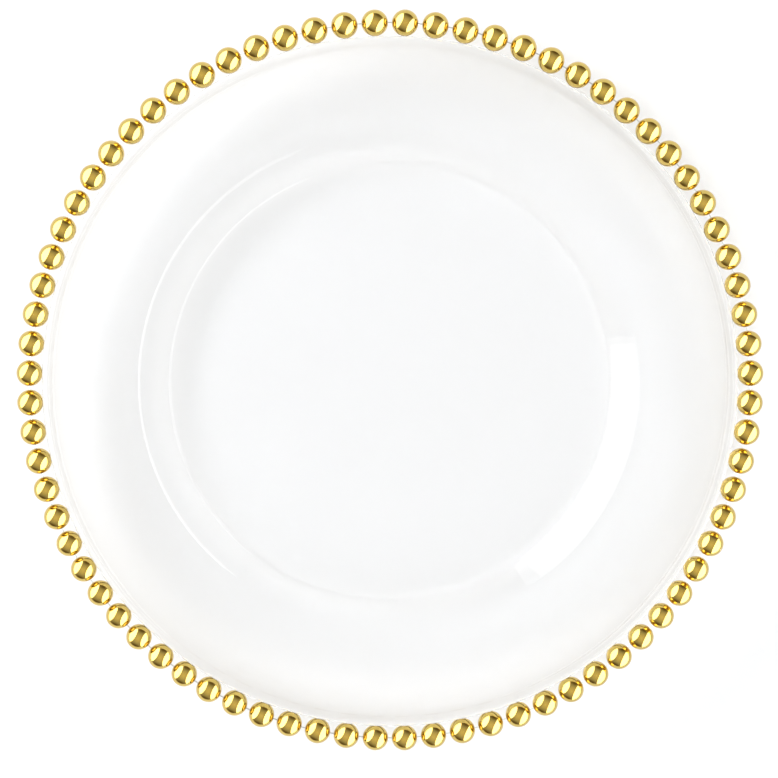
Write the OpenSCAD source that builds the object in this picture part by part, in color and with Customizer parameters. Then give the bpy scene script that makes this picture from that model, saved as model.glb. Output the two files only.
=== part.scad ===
// Charger plate: a clear pressed-glass plate with a ring of gold beads round its edge.
// The hollow beads are strung on a wire and bonded into a shallow seat in the glass lip.
// Millimetres, +Z up. The origin is the centre of the landing ring, on the table.

/* [Glass plate] */
// Outer diameter of the glass, at its rounded lip
plate_d = 307.4; // [270:0.1:360]
// Diameter of the flat floor of the well
floor_d = 195; // [150:0.5:230]
// Thickness of the glass in the floor, wall and rim
glass_t = 3.8; // [3:0.1:5]
// Slope of the wall of the well
wall_angle = 32; // [26:1:45]
// Slope of the rim
rim_angle = 8; // [3:0.5:14]
// Radius of the cove between floor and wall
cove_r = 4.5; // [2:0.5:12]
// Width of the straight part of the wall, seen from above
wall_run = 9.3; // [4:0.1:14]
// Radius of the shoulder between wall and rim
shoulder_r = 8; // [6:0.5:20]
// Diameter of the thick round lip at the edge
lip_d = 5.2; // [4.5:0.1:9]
// Radius of the fillets that blend the lip into the rim
lip_fillet_r = 5; // [1:0.1:8]

/* [Base] */
// Radius of the bend under the foot of the wall
bend_r = 4; // [1:0.1:8]
// Width of the flat landing ring that the plate stands on
landing_w = 2; // [1:0.1:6]
// Rise of the hollow base at its middle, which keeps the plate from rocking
hollow_h = 0.8; // [0.4:0.1:2]

/* [Bead ring] */
// Outer diameter of a bead
bead_d = 11.5; // [9:0.1:14]
// Least gap between neighbouring beads
bead_gap = 1.6; // [0.4:0.1:4]
// Wall of a hollow bead
bead_wall = 0.6; // [0.4:0.1:1.5]
// Depth of the bead seat in the lip
seat_depth = 0.4; // [0.2:0.05:0.8]
// Space for the bond line between seat and bead
bond_t = 0.2; // [0.15:0.05:0.5]
// Height of the bond line
bond_h = 2; // [1.2:0.1:3]
// Clearance on each face of the bond line
bond_fit = 0.02; // [0.01:0.01:0.05]

/* [Wire] */
// Diameter of the wire that the beads are strung on
wire_d = 0.5; // [0.4:0.1:1.6]
// Play between the wire and the hole in a bead
wire_play = 0.1; // [0.05:0.05:0.5]
// Gap between the two ends of the wire, inside the first bead
wire_end_gap = 1; // [0.4:0.1:4]

/* [Hidden] */
// Fineness of the round shapes, and of the arcs in the glass section
$fn = 96;
arc_step_angle = 5;
arc_least_steps = 6;

plate_r = plate_d / 2;
floor_r = floor_d / 2;
lip_r = lip_d / 2;
bead_r = bead_d / 2;

// Directions along the rim, outwards, and square to it, upwards
rim_out = [cos(rim_angle), sin(rim_angle)];
rim_up = [-sin(rim_angle), cos(rim_angle)];

// Centres of the arcs in the upper surface, as [radius, height]
floor_z = hollow_h + glass_t;
cove_c = [floor_r, floor_z + cove_r];
cove_end = cove_c + cove_r * [sin(wall_angle), -cos(wall_angle)];
shoulder_start = cove_end + wall_run * [1, tan(wall_angle)];
shoulder_c = shoulder_start + shoulder_r * [sin(wall_angle), -cos(wall_angle)];
rim_start = shoulder_c + shoulder_r * rim_up;

// The bend under the wall touches both the table and the wall's under side
bend_out = cove_r + glass_t - (cove_r + floor_z) * cos(wall_angle) - bend_r * (1 - cos(wall_angle));
landing_out = floor_r + bend_out / sin(wall_angle);
landing_in = landing_out - landing_w;

// The hollow base is part of one large ball
hollow_r = (landing_in * landing_in + hollow_h * hollow_h) / (2 * hollow_h);
hollow_angle = asin(landing_in / hollow_r);

// The lip is a round bead of glass on the middle plane of the rim
lip_x = plate_r - lip_r;
rim_mid = rim_start - glass_t / 2 * rim_up;
lip_c = [lip_x, rim_mid[1] + (lip_x - rim_mid[0]) * tan(rim_angle)];
fillet_up = lip_fillet_r + glass_t / 2;
fillet_in = sqrt(pow(lip_r + lip_fillet_r, 2) - pow(fillet_up, 2));
fillet_angle = atan2(fillet_up, fillet_in);
top_fillet_c = lip_c - fillet_in * rim_out + fillet_up * rim_up;
under_fillet_c = lip_c - fillet_in * rim_out - fillet_up * rim_up;

// The bead circle follows from the glass edge, the seat and the bond line
seat_r = bead_r + bond_t;
ring_r = plate_r - seat_depth + seat_r;
ring_z = lip_c[1];
pair_count = floor(PI * ring_r / (bead_d + bead_gap));
bead_count = 2 * pair_count;
bead_step = 360 / bead_count;

// The wire bows inside a straight hole, so the hole is wider by that much
wire_bow = bead_d * bead_d / (8 * ring_r);
hole_d = wire_d + 2 * (wire_play + wire_bow);
wire_gap_angle = wire_end_gap / ring_r * 180 / PI;

glass_color = [0.90, 0.94, 0.95, 0.5];
bond_color = [0.96, 0.96, 0.92, 0.7];
wire_color = [0.76, 0.78, 0.80];
gold_color = [0.88, 0.71, 0.24];

function pair_name(i) = str("bead_pair_", i < 10 ? "0" : "", i);

// Points along an arc about a centre, from one angle to another
function arc(c, r, from, to) =
    let (steps = max(arc_least_steps, ceil(abs(to - from) / arc_step_angle)))
    [for (i = [0 : steps]) let (a = from + (to - from) * i / steps) c + r * [cos(a), sin(a)]];

// Upper surface, from the middle of the floor out to the lip
function upper_side() = concat(
    [[0, floor_z]],
    arc(cove_c, cove_r, -90, wall_angle - 90),
    arc(shoulder_c, shoulder_r, wall_angle + 90, rim_angle + 90),
    arc(top_fillet_c, lip_fillet_r, rim_angle - 90, rim_angle - fillet_angle)
);

// Round lip, from the upper fillet over the edge to the lower one
function lip_side() =
    arc(lip_c, lip_r, rim_angle + 180 - fillet_angle, rim_angle - 180 + fillet_angle);

// Under surface, from the lip in to the landing ring
function under_side() = concat(
    arc(under_fillet_c, lip_fillet_r, rim_angle + fillet_angle, rim_angle + 90),
    arc(shoulder_c, shoulder_r - glass_t, rim_angle + 90, wall_angle + 90),
    arc([landing_out, bend_r], bend_r, wall_angle - 90, -90)
);

// Hollow base, from the landing ring in to the middle
function base_side() = arc([0, hollow_h - hollow_r], hollow_r, 90 - hollow_angle, 90);

// Half section of the glass, with the bead seat cut into the lip
module glass_section() {
    difference() {
        polygon(concat(upper_side(), lip_side(), under_side(), base_side()));
        translate([ring_r, ring_z]) circle(seat_r);
    }
}

// Half section of the bond line that fills the seat behind the beads
module bond_section() {
    intersection() {
        difference() {
            translate([ring_r, ring_z]) circle(seat_r - bond_fit);
            translate([ring_r, ring_z]) circle(bead_r + bond_fit);
        }
        translate([ring_r - 2 * seat_r, ring_z - bond_h / 2]) square([2 * seat_r, bond_h]);
    }
}

// One hollow bead on the bead circle, with its hole along the wire
module bead(i) {
    rotate((i + 0.5) * bead_step) translate([ring_r, 0, ring_z])
        difference() {
            sphere(bead_r);
            sphere(bead_r - bead_wall);
            rotate([90, 0, 0]) cylinder(d = hole_d, h = 2 * bead_d, center = true);
        }
}

// The plate itself
module glass_plate() {
    color(glass_color) rotate_extrude() glass_section();
}

// Clear adhesive between the lip and the beads
module bond_ring() {
    color(bond_color) rotate_extrude() bond_section();
}

// Wire through all the beads, whose ends meet inside the first bead
module bead_wire() {
    color(wire_color) rotate(bead_step / 2 + wire_gap_angle / 2)
        rotate_extrude(angle = 360 - wire_gap_angle)
            translate([ring_r, ring_z]) circle(d = wire_d);
}

// Two neighbouring beads
module bead_pair(i) {
    color(gold_color) {
        bead(2 * i - 2);
        bead(2 * i - 1);
    }
}

glass_plate();
bond_ring();
bead_wire();
for (i = [1 : pair_count]) {
    bead_pair(i);
}
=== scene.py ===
"""Charger plate: a clear pressed-glass plate with a ring of gold beads round its edge.

Sizes are in millimetres, as in the part's source, and become metres where a mesh is made.
A section is a list of arcs as (name, centre, radius, from angle, to angle), joined by straight lines.
"""
import math

import bpy
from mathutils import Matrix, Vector


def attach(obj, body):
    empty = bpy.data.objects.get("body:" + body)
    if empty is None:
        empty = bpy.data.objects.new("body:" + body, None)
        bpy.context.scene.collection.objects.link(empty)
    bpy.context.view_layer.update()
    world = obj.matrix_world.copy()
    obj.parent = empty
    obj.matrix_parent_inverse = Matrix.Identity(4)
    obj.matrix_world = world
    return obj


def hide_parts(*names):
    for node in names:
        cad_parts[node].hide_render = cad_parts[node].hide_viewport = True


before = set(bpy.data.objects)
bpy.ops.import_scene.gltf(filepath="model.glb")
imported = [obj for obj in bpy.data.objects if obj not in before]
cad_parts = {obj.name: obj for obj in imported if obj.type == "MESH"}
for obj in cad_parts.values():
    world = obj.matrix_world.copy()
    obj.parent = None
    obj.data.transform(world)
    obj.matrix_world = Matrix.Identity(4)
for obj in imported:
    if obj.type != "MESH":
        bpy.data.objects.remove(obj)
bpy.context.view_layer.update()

scene = bpy.context.scene
MM = 0.001

# Fineness along a section: the longest step in degrees and in millimetres, and the fewest steps on an arc
FINE_ANGLE = 4.0
FINE_LENGTH = 12.0
LEAST_STEPS = 3
# Points nearer than SAME_POINT are one, and edges that bend by more than CREASE_ANGLE stay sharp
SAME_POINT = 0.001
CREASE_ANGLE = 40.0
# Steps round the plate, a bead and the wire, and along the arcs of a bead
ROUND_STEPS = 456
BEAD_STEPS = 36
WIRE_STEPS = 16
BALL_STEPS = 24
HOLE_EDGE_STEPS = 5

# Glass plate
plate_r = 153.7
floor_r = 97.5
glass_t = 3.8
wall_angle = 32.0
rim_angle = 8.0
cove_r = 4.5
wall_run = 9.3
shoulder_r = 8.0
lip_r = 2.6
lip_fillet_r = 5.0

# Base
bend_r = 4.0
landing_w = 2.0
hollow_h = 0.8

# Bead ring
bead_r = 5.75
bead_count = 76
seat_depth = 0.4
bond_t = 0.2
bond_h = 2.0
bond_fit = 0.02
hole_edge_r = 0.25

# Wire
wire_d = 0.5
wire_play = 0.1
wire_end_gap = 1.0

bead_step = 360 / bead_count
seat_r = bead_r + bond_t
ring_r = plate_r - seat_depth + seat_r
hole_r = wire_d / 2 + wire_play + bead_r * bead_r / (2 * ring_r)


def turned(centre, radius, angle):
    """The point at an angle on a circle, as (radius, height)."""
    a = math.radians(angle)
    return (centre[0] + radius * math.cos(a), centre[1] + radius * math.sin(a))


# Centres of the arcs in the glass section
floor_z = hollow_h + glass_t
cove_c = (floor_r, floor_z + cove_r)
cove_end = turned(cove_c, cove_r, wall_angle - 90)
wall_end = (cove_end[0] + wall_run, cove_end[1] + wall_run * math.tan(math.radians(wall_angle)))
shoulder_c = turned(wall_end, shoulder_r, wall_angle - 90)
rim_mid = turned(shoulder_c, shoulder_r - glass_t / 2, rim_angle + 90)
lip_x = plate_r - lip_r
lip_c = (lip_x, rim_mid[1] + (lip_x - rim_mid[0]) * math.tan(math.radians(rim_angle)))
fillet_reach = lip_r + lip_fillet_r
fillet_angle = math.degrees(math.asin((lip_fillet_r + glass_t / 2) / fillet_reach))
upper_fillet_c = turned(lip_c, fillet_reach, rim_angle + 180 - fillet_angle)
under_fillet_c = turned(lip_c, fillet_reach, rim_angle + 180 + fillet_angle)
ring_z = lip_c[1]
ring_c = (ring_r, ring_z)

# The seat circle cuts the lip at these angles about the lip's and the bead's centres
seat_far = ring_r - lip_x
lip_cut = math.degrees(math.acos((seat_far**2 + lip_r**2 - seat_r**2) / (2 * seat_far * lip_r)))
seat_cut = math.degrees(math.acos((seat_far**2 + seat_r**2 - lip_r**2) / (2 * seat_far * seat_r)))

# The bend under the wall touches both the table and the wall's under side
wall_cos = math.cos(math.radians(wall_angle))
wall_sin = math.sin(math.radians(wall_angle))
bend_out = cove_r + glass_t - (cove_r + floor_z) * wall_cos - bend_r * (1 - wall_cos)
landing_out = floor_r + bend_out / wall_sin
landing_in = landing_out - landing_w

# The hollow base is part of one large ball
hollow_r = (landing_in**2 + hollow_h**2) / (2 * hollow_h)
hollow_angle = math.degrees(math.asin(landing_in / hollow_r))

glass_section = [
    ("Cove", cove_c, cove_r, -90, wall_angle - 90),
    ("Shoulder", shoulder_c, shoulder_r, wall_angle + 90, rim_angle + 90),
    ("Upper lip fillet", upper_fillet_c, lip_fillet_r, rim_angle - 90, rim_angle - fillet_angle),
    ("Upper lip", lip_c, lip_r, rim_angle + 180 - fillet_angle, lip_cut),
    ("Bead seat", ring_c, seat_r, 180 - seat_cut, 180 + seat_cut),
    ("Lower lip", lip_c, lip_r, -lip_cut, rim_angle - 180 + fillet_angle),
    ("Lower lip fillet", under_fillet_c, lip_fillet_r, rim_angle + fillet_angle, rim_angle + 90),
    ("Under shoulder", shoulder_c, shoulder_r - glass_t, rim_angle + 90, wall_angle + 90),
    ("Under bend", (landing_out, bend_r), bend_r, wall_angle - 90, -90),
    ("Hollow base", (0, hollow_h - hollow_r), hollow_r, 90 - hollow_angle, 90),
]

bond_glass_side = seat_r - bond_fit
bond_bead_side = bead_r + bond_fit
bond_glass_angle = math.degrees(math.asin(bond_h / 2 / bond_glass_side))
bond_bead_angle = math.degrees(math.asin(bond_h / 2 / bond_bead_side))
bond_section = [
    ("Bead side", ring_c, bond_bead_side, 180 - bond_bead_angle, 180 + bond_bead_angle),
    ("Glass side", ring_c, bond_glass_side, 180 + bond_glass_angle, 180 - bond_glass_angle),
]

# A bead is turned about its own hole, which later lies along the wire
hole_edge_x = hole_r + hole_edge_r
hole_edge_z = math.sqrt((bead_r - hole_edge_r) ** 2 - hole_edge_x**2)
hole_edge_angle = math.degrees(math.atan2(hole_edge_z, hole_edge_x))
bead_section = [
    ("Upper hole edge", (hole_edge_x, hole_edge_z), hole_edge_r, 180, hole_edge_angle),
    ("Ball", (0, 0), bead_r, hole_edge_angle, -hole_edge_angle),
    ("Lower hole edge", (hole_edge_x, -hole_edge_z), hole_edge_r, -hole_edge_angle, -180),
]


def linear(code):
    """An sRGB hex colour as linear values with alpha."""
    parts = [int(code[i : i + 2], 16) / 255 for i in (1, 3, 5)]
    return [c / 12.92 if c <= 0.04045 else ((c + 0.055) / 1.055) ** 2.4 for c in parts] + [1.0]


def node(tree, kind, put=None, **settings):
    """Adds a node with its settings.

    put gives inputs by name or place, as values, as sockets to link from or as lists of such sockets.
    """
    made = tree.nodes.new(kind)
    for key, value in settings.items():
        setattr(made, key, value)
    for key, value in (put or {}).items():
        sources = value if isinstance(value, list) else [value]
        if not isinstance(sources[0], bpy.types.NodeSocket):
            made.inputs[key].default_value = value
            continue
        for source in sources:
            tree.links.new(source, made.inputs[key])
    return made


class Shape:
    """A geometry tree with named sizes, and the plain mesh that it makes."""

    kinds = {int: "NodeSocketInt", float: "NodeSocketFloat", tuple: "NodeSocketVector"}

    def __init__(self, name):
        self.name = name
        self.tree = bpy.data.node_groups.new(name, "GeometryNodeTree")
        self.tree.interface.new_socket("Mesh", in_out="OUTPUT", socket_type="NodeSocketGeometry")
        self.sizes = {}

    def size(self, name, value):
        """A named input of the tree, with its value."""
        kind = self.kinds.get(type(value), "NodeSocketMaterial")
        socket = self.tree.interface.new_socket(name, in_out="INPUT", socket_type=kind)
        self.sizes[socket.identifier] = value
        outlet = node(self.tree, "NodeGroupInput").outputs
        return next(o for o in outlet if o.identifier == socket.identifier)

    def arc(self, name, centre, radius, start, stop, steps):
        """One arc of a section, in metres."""
        curve = node(self.tree, "GeometryNodeCurveArc", {
            "Resolution": self.size(name + " points", steps + 1),
            "Radius": self.size(name + " radius", radius * MM),
            "Start Angle": self.size(name + " from", math.radians(start)),
            "Sweep Angle": self.size(name + " sweep", math.radians(stop - start)),
        }, mode="RADIUS")
        placed = node(self.tree, "GeometryNodeTransform", {
            "Geometry": curve.outputs["Curve"],
            "Translation": self.size(name + " centre", (centre[0] * MM, centre[1] * MM, 0.0)),
        })
        return placed.outputs["Geometry"]

    def line(self, name, start, stop):
        """One straight line of a section, in metres."""
        curve = node(self.tree, "GeometryNodeCurvePrimitiveLine", {
            "Start": self.size(name + " from", (start[0] * MM, start[1] * MM, 0.0)),
            "End": self.size(name + " to", (stop[0] * MM, stop[1] * MM, 0.0)),
        }, mode="POINTS")
        cut = node(self.tree, "GeometryNodeSubdivideCurve", {
            "Curve": curve.outputs["Curve"],
            "Cuts": self.size(name + " cuts", int(math.dist(start, stop) / FINE_LENGTH)),
        })
        return cut.outputs["Curve"]

    def strokes(self, section, ends=(), steps=None):
        """The section's arcs and the straight lines between them.

        ends are points on the axis, and without them the section closes on itself.
        steps are the counts along the arcs, or else follow from their sizes.
        """
        curves = []
        for i, (name, centre, radius, start, stop) in enumerate(section):
            sweep = abs(stop - start)
            length = radius * math.radians(sweep)
            fine = math.ceil(max(LEAST_STEPS, sweep / FINE_ANGLE, length / FINE_LENGTH))
            curves.append(self.arc(name, centre, radius, start, stop, steps[i] if steps else fine))
        names = [name for name, *_ in section]
        arc_starts = [turned(centre, radius, start) for _, centre, radius, start, _ in section]
        arc_stops = [turned(centre, radius, stop) for _, centre, radius, _, stop in section]
        if ends:
            names = ["Middle"] + names
            line_starts, line_stops = [ends[0]] + arc_stops, arc_starts + [ends[1]]
        else:
            line_starts, line_stops = arc_stops, arc_starts[1:] + arc_starts[:1]
        for name, start, stop in zip(names, line_starts, line_stops):
            if math.dist(start, stop) > SAME_POINT:
                curves.append(self.line("After " + name.lower(), start, stop))
        return node(self.tree, "GeometryNodeJoinGeometry", {"Geometry": curves}).outputs["Geometry"]

    def turn(self, strokes, steps, radius):
        """Turns a section about the upright axis and closes its seams."""
        tree = self.tree
        reach = self.size("Turning radius", radius * MM)
        back = node(tree, "ShaderNodeMath", {0: reach, 1: -1.0}, operation="MULTIPLY")
        inward = node(tree, "ShaderNodeCombineXYZ", {"X": back.outputs[0]})
        upright = node(tree, "GeometryNodeTransform", {
            "Geometry": strokes, "Rotation": (math.pi, 0, 0), "Translation": inward.outputs[0],
        })
        path = node(tree, "GeometryNodeCurvePrimitiveCircle", {
            "Resolution": self.size("Steps round", steps), "Radius": reach,
        }, mode="RADIUS")
        skin = node(tree, "GeometryNodeCurveToMesh", {
            "Curve": path.outputs["Curve"], "Profile Curve": upright.outputs["Geometry"],
        })
        welded = node(tree, "GeometryNodeMergeByDistance", {
            "Geometry": skin.outputs["Mesh"], "Distance": SAME_POINT * MM,
        })
        return welded.outputs["Geometry"]

    def make(self, mesh, material, crease=180.0):
        """Ends the tree and gives the finished plain mesh. Edges that bend more than crease stay sharp."""
        tree = self.tree
        whole = node(tree, "GeometryNodeRealizeInstances", {"Geometry": mesh})
        smooth = node(tree, "GeometryNodeSetShadeSmooth", {
            "Geometry": whole.outputs["Geometry"], "Shade Smooth": True,
        }, domain="FACE")
        bend = node(tree, "GeometryNodeInputMeshEdgeAngle")
        gentle = node(tree, "FunctionNodeCompare", {
            0: bend.outputs["Unsigned Angle"], 1: math.radians(crease),
        }, operation="LESS_THAN")
        edged = node(tree, "GeometryNodeSetShadeSmooth", {
            "Geometry": smooth.outputs["Geometry"], "Shade Smooth": gentle.outputs["Result"],
        }, domain="EDGE")
        faced = node(tree, "GeometryNodeSetMaterial", {
            "Geometry": edged.outputs["Geometry"], "Material": self.size("Material", material),
        })
        node(tree, "NodeGroupOutput", {0: faced.outputs["Geometry"]})
        piece = bpy.data.objects.new(self.name, bpy.data.meshes.new(self.name))
        scene.collection.objects.link(piece)
        modifier = piece.modifiers.new("shape", "NODES")
        modifier.node_group = tree
        for identifier, value in self.sizes.items():
            modifier[identifier] = value
        evaluated = piece.evaluated_get(bpy.context.evaluated_depsgraph_get())
        plain = bpy.data.meshes.new_from_object(evaluated)
        plain.name = self.name
        piece.modifiers.remove(modifier)
        piece.data = plain
        return piece


def material(name):
    """A new material with its node tree and its main shader."""
    made = bpy.data.materials.new(name)
    made.use_nodes = True
    return made, made.node_tree, made.node_tree.nodes["Principled BSDF"]


def pressed_soda_lime_glass():
    """Clear pressed glass, fire polished: colourless, with the slow waves that the mould leaves."""
    made, tree, main = material("pressed_soda_lime_glass")
    wave_mm, wave_depth_mm = 22.0, 0.1
    where = node(tree, "ShaderNodeTexCoord")
    waves = node(tree, "ShaderNodeTexNoise", {
        "Vector": where.outputs["Object"], "Scale": 1 / (wave_mm * MM), "Detail": 1.0, "Roughness": 0.4,
    })
    swell = node(tree, "ShaderNodeBump", {
        "Height": waves.outputs["Fac"], "Strength": 0.25, "Distance": wave_depth_mm * MM,
    })
    main.inputs["Base Color"].default_value = linear("#F7F7F7")
    main.inputs["Roughness"].default_value = 0.0
    main.inputs["IOR"].default_value = 1.52
    main.inputs["Transmission Weight"].default_value = 1.0
    tree.links.new(swell.outputs["Normal"], main.inputs["Normal"])
    return made


def polished_gold_plating():
    """Bright gold plating on brass: a mirror of warm yellow, with a faint polishing haze."""
    made, tree, main = material("polished_gold_plating")
    haze_mm = 3.0
    where = node(tree, "ShaderNodeTexCoord")
    haze = node(tree, "ShaderNodeTexNoise", {
        "Vector": where.outputs["Object"], "Scale": 1 / (haze_mm * MM), "Detail": 3.0, "Roughness": 0.6,
    })
    gloss = node(tree, "ShaderNodeMapRange", {
        "Value": haze.outputs["Fac"], "From Min": 0.3, "From Max": 0.7, "To Min": 0.06, "To Max": 0.11,
    })
    tone = node(tree, "ShaderNodeMix", {
        "Factor": haze.outputs["Fac"], 6: linear("#CCB05C"), 7: linear("#D4B868"),
    }, data_type="RGBA")
    tree.links.new(tone.outputs[2], main.inputs["Base Color"])
    tree.links.new(gloss.outputs["Result"], main.inputs["Roughness"])
    main.inputs["Metallic"].default_value = 1.0
    return made


def drawn_steel_wire():
    """Bright drawn steel wire: silvery grey, with a soft gloss from the die."""
    made, tree, main = material("drawn_steel_wire")
    grain_mm = 0.6
    where = node(tree, "ShaderNodeTexCoord")
    grain = node(tree, "ShaderNodeTexNoise", {
        "Vector": where.outputs["Object"], "Scale": 1 / (grain_mm * MM), "Detail": 2.0,
    })
    gloss = node(tree, "ShaderNodeMapRange", {"Value": grain.outputs["Fac"], "To Min": 0.3, "To Max": 0.42})
    main.inputs["Base Color"].default_value = linear("#C9CCD0")
    main.inputs["Metallic"].default_value = 1.0
    tree.links.new(gloss.outputs["Result"], main.inputs["Roughness"])
    return made


def clear_cured_adhesive():
    """Clear cured adhesive: colourless, a little duller than glass, with small ripples from the squeeze."""
    made, tree, main = material("clear_cured_adhesive")
    ripple_mm, ripple_depth_mm = 1.5, 0.05
    where = node(tree, "ShaderNodeTexCoord")
    ripples = node(tree, "ShaderNodeTexNoise", {
        "Vector": where.outputs["Object"], "Scale": 1 / (ripple_mm * MM), "Detail": 1.0,
    })
    swell = node(tree, "ShaderNodeBump", {
        "Height": ripples.outputs["Fac"], "Strength": 0.3, "Distance": ripple_depth_mm * MM,
    })
    main.inputs["Base Color"].default_value = linear("#FFFFFF")
    main.inputs["Roughness"].default_value = 0.06
    main.inputs["IOR"].default_value = 1.48
    main.inputs["Transmission Weight"].default_value = 1.0
    tree.links.new(swell.outputs["Normal"], main.inputs["Normal"])
    return made


def glass_plate():
    """The glass, turned from its half section about the middle of the plate."""
    shape = Shape("glass_plate_turned")
    strokes = shape.strokes(glass_section, ends=((0, floor_z), (0, hollow_h)))
    mesh = shape.turn(strokes, ROUND_STEPS, floor_r)
    return shape.make(mesh, pressed_soda_lime_glass(), CREASE_ANGLE)


def bond_ring():
    """The bond line in the seat round the lip."""
    shape = Shape("bond_line")
    mesh = shape.turn(shape.strokes(bond_section), ROUND_STEPS, ring_r)
    return shape.make(mesh, clear_cured_adhesive(), CREASE_ANGLE)


def gold_beads():
    """The ring of beads, each with its hole along the wire."""
    shape = Shape("gold_beads")
    tree = shape.tree
    strokes = shape.strokes(bead_section, steps=(HOLE_EDGE_STEPS, BALL_STEPS, HOLE_EDGE_STEPS))
    ball = shape.turn(strokes, BEAD_STEPS, hole_r)
    ring = node(tree, "GeometryNodeCurvePrimitiveCircle", {
        "Resolution": shape.size("Bead count", bead_count),
        "Radius": shape.size("Bead circle radius", ring_r * MM),
    }, mode="RADIUS")
    points = node(tree, "GeometryNodeCurveToPoints", {"Curve": ring.outputs["Curve"]}, mode="EVALUATED")
    along = node(tree, "FunctionNodeAlignRotationToVector", {"Vector": points.outputs["Tangent"]}, axis="Z")
    beads = node(tree, "GeometryNodeInstanceOnPoints", {
        "Points": points.outputs["Points"], "Instance": ball, "Rotation": along.outputs["Rotation"],
    })
    half_step = shape.size("Half a bead step", math.radians(bead_step / 2))
    turn = node(tree, "ShaderNodeCombineXYZ", {"Z": half_step})
    lift = node(tree, "ShaderNodeCombineXYZ", {"Z": shape.size("Bead height", ring_z * MM)})
    placed = node(tree, "GeometryNodeTransform", {
        "Geometry": beads.outputs["Instances"], "Rotation": turn.outputs[0], "Translation": lift.outputs[0],
    })
    return shape.make(placed.outputs["Geometry"], polished_gold_plating())


def bead_wire():
    """The wire through the beads, whose ends meet inside the first one."""
    shape = Shape("strung_wire")
    tree = shape.tree
    gap = wire_end_gap / ring_r
    path = node(tree, "GeometryNodeCurveArc", {
        "Resolution": shape.size("Steps round", ROUND_STEPS),
        "Radius": shape.size("Bead circle radius", ring_r * MM),
        "Start Angle": shape.size("First end", math.radians(bead_step / 2) + gap / 2),
        "Sweep Angle": shape.size("Sweep", 2 * math.pi - gap),
    }, mode="RADIUS")
    rod = node(tree, "GeometryNodeCurvePrimitiveCircle", {
        "Resolution": shape.size("Wire steps", WIRE_STEPS),
        "Radius": shape.size("Wire radius", wire_d / 2 * MM),
    }, mode="RADIUS")
    skin = node(tree, "GeometryNodeCurveToMesh", {
        "Curve": path.outputs["Curve"], "Profile Curve": rod.outputs["Curve"], "Fill Caps": True,
    })
    lift = node(tree, "ShaderNodeCombineXYZ", {"Z": shape.size("Wire height", ring_z * MM)})
    placed = node(tree, "GeometryNodeTransform", {
        "Geometry": skin.outputs["Mesh"], "Translation": lift.outputs[0],
    })
    return shape.make(placed.outputs["Geometry"], drawn_steel_wire(), CREASE_ANGLE)


bead_nodes = sorted(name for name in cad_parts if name.startswith("bead_pair_"))
plate, bond, wire, beads = glass_plate(), bond_ring(), bead_wire(), gold_beads()
clear_pieces, metal_pieces = [plate, bond], [wire, beads]
for piece, slot, nodes in (
    (plate, "clear_glass", ["glass_plate"]),
    (bond, "clear_adhesive", ["bond_ring"]),
    (wire, "steel_wire", ["bead_wire"]),
    (beads, "gold_plating", bead_nodes),
):
    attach(piece, "root")
    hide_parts(*nodes)

# The beads mirror the table, and not the light that runs round inside the rim
plate.visible_glossy = False


def white_table():
    """A plain white table: the eye, mirrors and glass see it white.

    Near the plate a share of it takes the light, which keeps the object's shadow.
    """
    made = bpy.data.materials.new("white_table")
    made.use_nodes = True
    tree = made.node_tree
    tree.nodes.clear()
    lit_share = 0.5
    lit_to, white_from = 0.4, 1.2
    where = node(tree, "ShaderNodeTexCoord")
    away = node(tree, "ShaderNodeVectorMath", {0: where.outputs["Object"]}, operation="LENGTH")
    plain = node(tree, "ShaderNodeMapRange", {
        "Value": away.outputs["Value"],
        "From Min": lit_to, "From Max": white_from, "To Min": 1 - lit_share, "To Max": 1.0,
    })
    ray = node(tree, "ShaderNodeLightPath").outputs
    direct = node(tree, "ShaderNodeMath", {
        0: ray["Is Camera Ray"], 1: ray["Is Glossy Ray"],
    }, operation="MAXIMUM")
    seen = node(tree, "ShaderNodeMath", {
        0: direct.outputs[0], 1: ray["Is Transmission Ray"],
    }, operation="MAXIMUM")
    share = node(tree, "ShaderNodeMath", {
        0: seen.outputs[0], 1: plain.outputs["Result"],
    }, operation="MULTIPLY")
    lit = node(tree, "ShaderNodeBsdfDiffuse", {"Color": linear("#FFFFFF")})
    white = node(tree, "ShaderNodeEmission", {"Color": linear("#FFFFFF"), "Strength": 1.0})
    both = node(tree, "ShaderNodeMixShader", {0: share.outputs[0], 1: lit.outputs[0], 2: white.outputs[0]})
    node(tree, "ShaderNodeOutputMaterial", {"Surface": both.outputs[0]})
    return made


# The table lies a hair below the landing ring, so that their faces don't coincide. In metres
table_half, table_drop = 8.0, 0.0002
corners = [(table_half * x, table_half * y, -table_drop) for x, y in ((-1, -1), (1, -1), (1, 1), (-1, 1))]
table_mesh = bpy.data.meshes.new("table")
table_mesh.from_pydata(corners, [], [(0, 1, 2, 3)])
table_mesh.materials.append(white_table())
table = bpy.data.objects.new("table", table_mesh)
scene.collection.objects.link(table)


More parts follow.
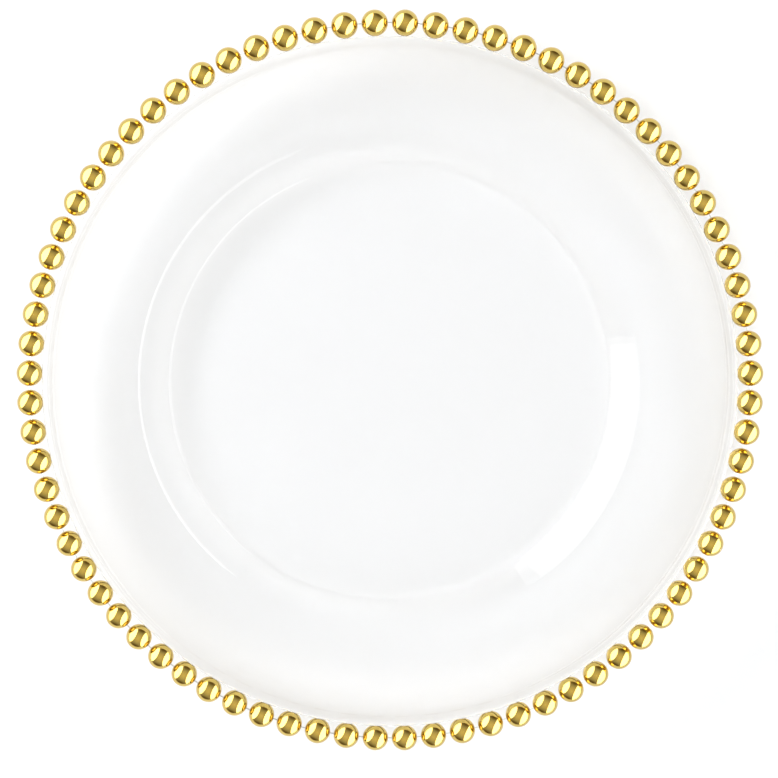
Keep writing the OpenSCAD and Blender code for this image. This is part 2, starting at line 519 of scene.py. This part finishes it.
def softbox(
    name, azimuth, elevation, distance, width, height, brightness, colour, spread=180.0, lights=None
):
    """An oval area light that faces the plate, in degrees and metres.

    brightness is what a mirror shows of its middle, where 1 is white. A grid in front of it narrows
    its spread and fades its edge. lights are the pieces that mirror it, which don't cast its glint on
    the table. Without them it lights everything and no piece mirrors it.
    """
    lamp = bpy.data.lights.new(name, "AREA")
    lamp.shape = "ELLIPSE"
    lamp.size, lamp.size_y = width, height
    lamp.spread = math.radians(spread)
    half = math.radians(spread / 2)
    grid = 1 - half / math.tan(half)
    lamp.energy = brightness * grid * math.pi * (math.pi / 4 * width * height)
    lamp.color = linear(colour)[:3]
    a, e = math.radians(azimuth), math.radians(elevation)
    toward = Vector((math.cos(a) * math.cos(e), math.sin(a) * math.cos(e), math.sin(e)))
    holder = bpy.data.objects.new(name, lamp)
    holder.location = toward * distance
    holder.rotation_euler = toward.to_track_quat("Z", "Y").to_euler()
    holder.visible_camera = False
    scene.collection.objects.link(holder)
    if not lights:
        holder.visible_glossy = False
        return
    holder.visible_diffuse = False
    holder.visible_transmission = False
    reached = bpy.data.collections.new(name + "_reaches")
    for piece in lights:
        reached.objects.link(piece)
    holder.light_linking.receiver_collection = reached
    lamp.use_nodes = True
    tree = lamp.node_tree
    ray = node(tree, "ShaderNodeLightPath").outputs
    glint = node(tree, "ShaderNodeMath", {0: ray["Diffuse Depth"], 1: 0.5}, operation="LESS_THAN")
    tree.links.new(glint.outputs[0], tree.nodes["Emission"].inputs["Strength"])


# What lights the table, also through the glass: a low key from the left, a weak and wide kicker from the
# front, and a fill from above
softbox(
    "key", azimuth=153, elevation=17, distance=2.4, width=2.2, height=0.36,
    brightness=44.0, colour="#F3F7FF",
)
softbox(
    "kicker", azimuth=-84, elevation=17, distance=2.4, width=6.0, height=0.5,
    brightness=6.4, colour="#F3F7FF",
)
softbox(
    "fill", azimuth=0, elevation=90, distance=2.4, width=3.2, height=3.2,
    brightness=2.6, colour="#FEFFFF",
)

# What the gold mirrors: a white panel on each side and a warm card above
for name, azimuth in (("left_panel", 154), ("right_panel", -26)):
    softbox(
        name, azimuth, elevation=4, distance=1.5, width=4.2, height=4.2,
        brightness=4.5, colour="#FFFFFF", lights=metal_pieces,
    )
softbox(
    "warm_card", azimuth=0, elevation=90, distance=2.0, width=5.0, height=5.0,
    brightness=0.5, colour="#FFEFB2", spread=100, lights=metal_pieces,
)

# What the glass mirrors: a window in the right wall of the well, and a card in the cove on the left
softbox(
    "window", azimuth=164, elevation=31, distance=2.3, width=2.6, height=2.6,
    brightness=2.4, colour="#FFFFFF", spread=84, lights=clear_pieces,
)
softbox(
    "card", azimuth=-15, elevation=67, distance=2.2, width=2.6, height=0.6,
    brightness=1.8, colour="#FFFFFF", lights=clear_pieces,
)


def studio():
    """The room: the gold mirrors pale walls, with a darker gap before and behind the plate.

    What the glass looks through is white, and so is what the gold throws on the table. The room lights
    the table in no other way.
    """
    made = bpy.data.worlds.new("studio")
    made.use_nodes = True
    made.cycles_visibility.diffuse = False
    tree = made.node_tree
    tree.nodes.clear()
    gap_axis = math.radians(64)
    gap_from, gap_to = 0.78, 0.96
    facing = node(tree, "ShaderNodeTexCoord")
    across = node(tree, "ShaderNodeVectorMath", {
        0: facing.outputs["Generated"], 1: (math.cos(gap_axis), math.sin(gap_axis), 0),
    }, operation="DOT_PRODUCT")
    either = node(tree, "ShaderNodeMath", {0: across.outputs["Value"]}, operation="ABSOLUTE")
    gap = node(tree, "ShaderNodeMapRange", {
        "Value": either.outputs[0], "From Min": gap_from, "From Max": gap_to,
    })
    shade = node(tree, "ShaderNodeMix", {
        "Factor": gap.outputs["Result"], 6: linear("#BCBAB2"), 7: linear("#72654C"),
    }, data_type="RGBA")
    ray = node(tree, "ShaderNodeLightPath").outputs
    onward = node(tree, "ShaderNodeMath", {0: ray["Diffuse Depth"], 1: 0.5}, operation="GREATER_THAN")
    plain = node(tree, "ShaderNodeMath", {
        0: onward.outputs[0], 1: ray["Is Transmission Ray"],
    }, operation="MAXIMUM")
    walls = node(tree, "ShaderNodeMix", {
        "Factor": plain.outputs[0], 6: shade.outputs[2], 7: linear("#FFFFFF"),
    }, data_type="RGBA")
    through = node(tree, "ShaderNodeMath", {
        0: onward.outputs[0], 1: ray["Is Transmission Ray"],
    }, operation="MULTIPLY")
    level = node(tree, "ShaderNodeMath", {0: 1.0, 1: through.outputs[0]}, operation="SUBTRACT")
    room = node(tree, "ShaderNodeBackground", {"Color": walls.outputs[2], "Strength": level.outputs[0]})
    node(tree, "ShaderNodeOutputWorld", {"Surface": room.outputs[0]})
    return made


scene.world = studio()

# The camera looks down from a little beyond the plate's far side, with its axis just off the middle
lens, sensor = 97.2, 36.0
view_width = 343.9
view_x, view_y = -0.4, -0.5
tilt = math.radians(7.23)
distance = view_width * lens / sensor
camera_y = view_y + distance * math.sin(tilt)
camera_z = ring_z + distance * math.cos(tilt)
camera_data = bpy.data.cameras.new("camera")
camera_data.lens, camera_data.sensor_width = lens, sensor
camera = bpy.data.objects.new("camera", camera_data)
camera.location = (view_x * MM, camera_y * MM, camera_z * MM)
camera.rotation_euler = (-tilt, 0, 0)
scene.collection.objects.link(camera)
scene.camera = camera
scene.view_settings.view_transform = "Standard"

# Light runs far along the rim inside the glass before it comes out, and draws a crescent under the floor
scene.cycles.glossy_bounces = 16
scene.cycles.max_bounces = 24
scene.cycles.blur_glossy = 0.0
scene.cycles.sample_clamp_indirect = 0.0
scene.cycles.use_guiding = True
